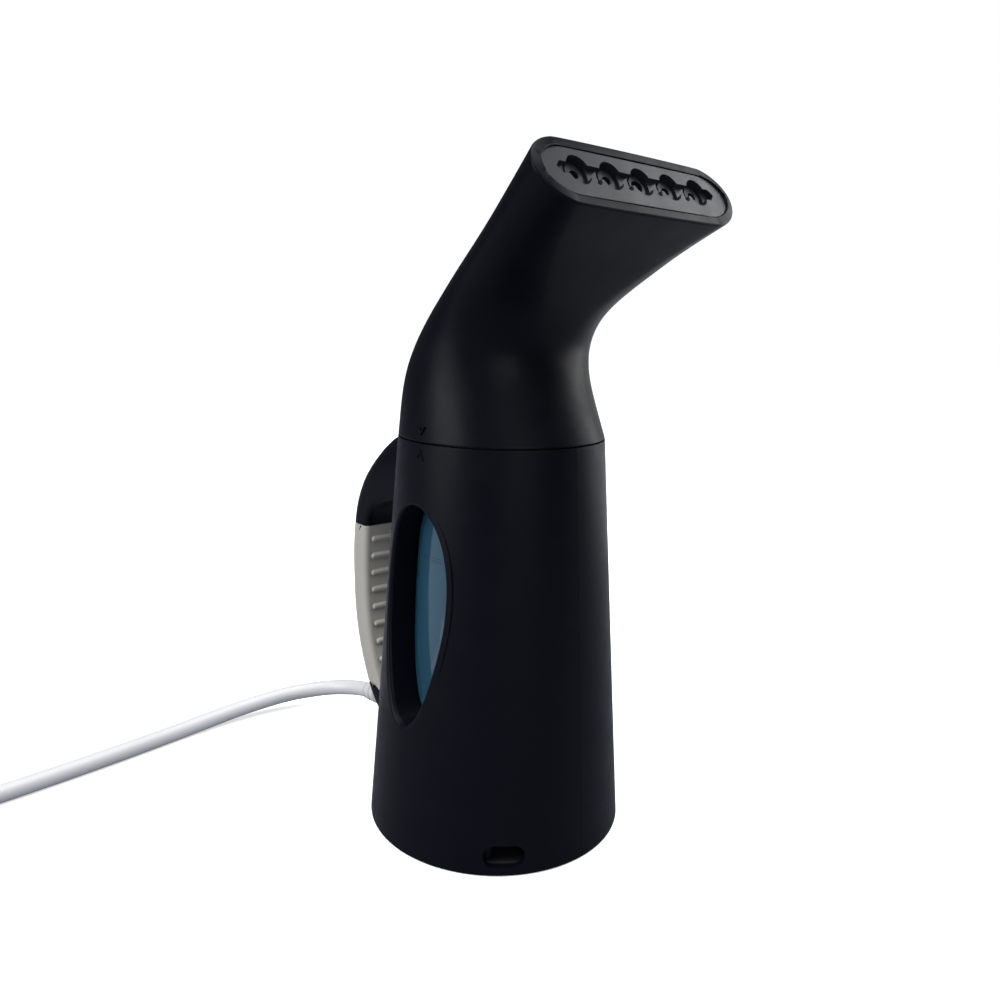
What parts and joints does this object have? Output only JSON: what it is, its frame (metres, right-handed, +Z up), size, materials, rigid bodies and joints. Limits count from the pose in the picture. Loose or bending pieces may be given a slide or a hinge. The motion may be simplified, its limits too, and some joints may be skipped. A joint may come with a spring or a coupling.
{
  "type": "handheld garment steamer",
  "caption": "Handheld garment steamer: tapered body with windowed water tank, rear loop handle, twist-off head with a wide slotted nozzle, and a mains cord.",
  "frame": {"origin": "centre of the foot pad's face, on the axis of the round body, at the level of the surface it stands on", "axes": "+Z up along the body's axis, -Y forward towards the nozzle, +Y back towards the handle, X across"},
  "size_m": [0.2959, 0.1753, 0.21],
  "materials": {
    "casing_abs": "near-black moulded ABS with a fine satin texture",
    "soft_grip": "warm grey matt soft-touch elastomer",
    "base_abs": "near-black moulded ABS",
    "foot_rubber": "matt black rubber",
    "screw_steel": "bright zinc-plated steel",
    "tank_plastic": "clear blue-tinted moulded plastic",
    "inner_plastic": "dark heat-resistant plastic",
    "boiler_aluminium": "as-cast aluminium",
    "silicone": "red-brown silicone rubber",
    "element_steel": "dull sheathed heater tube",
    "ceramic": "cream ceramic",
    "fuse_brass": "bright metal can",
    "terminal_plastic": "off-white plastic",
    "wire_brown": "brown sleeve",
    "wire_blue": "blue sleeve",
    "lens_red": "clear red lens",
    "cord_pvc": "light grey satin PVC",
    "tie_strap": "black reusable strap",
    "pin_brass": "plain brass",
    "plate_plastic": "dark grey satin heat-resistant plastic",
    "duct_plastic": "grey heat-resistant plastic",
    "button_plastic": "dark grey satin plastic"
  },
  "bodies": {
    "body": {"casing_left": "casing_abs", "casing_right": "casing_abs", "grip": "soft_grip", "base_plate": "base_abs", "foot_pad": "foot_rubber", "base_screws": "screw_steel", "handle_screws": "screw_steel", "tank": "tank_plastic", "socket_ring": "inner_plastic", "boiler_cup": "boiler_aluminium", "boiler_gasket": "silicone", "boiler_cover": "inner_plastic", "heating_element": "element_steel", "thermostat": "ceramic", "thermal_fuse": "fuse_brass", "terminal_block": "terminal_plastic", "supply_wires": "wire_brown", "switch_wires": "wire_blue", "switch_body": "inner_plastic", "indicator_lens": "lens_red", "strain_relief": "cord_pvc", "cord_run": "cord_pvc", "cord_coil": "cord_pvc", "cord_tail": "cord_pvc", "cord_tie": "tie_strap", "plug_body": "cord_pvc", "plug_pins": "pin_brass"},
    "head": {"head_left": "casing_abs", "head_right": "casing_abs", "steam_plate": "plate_plastic", "steam_duct": "duct_plastic", "head_collar": "inner_plastic", "head_seal": "silicone"},
    "button": {"power_button": "button_plastic"}
  },
  "joints": [
    {"name": "head_twist", "type": "hinge", "parent": "body", "child": "head", "pos_m": [0, 0, 0.13], "axis": [0, 0, 1], "range_deg": [0, 30]},
    {"name": "power_button_press", "type": "slide", "parent": "body", "child": "button", "axis": [0, -0.8387, -0.5446], "range_m": [0, 0.0018], "stiffness_N_per_m": 1200}
  ]
}
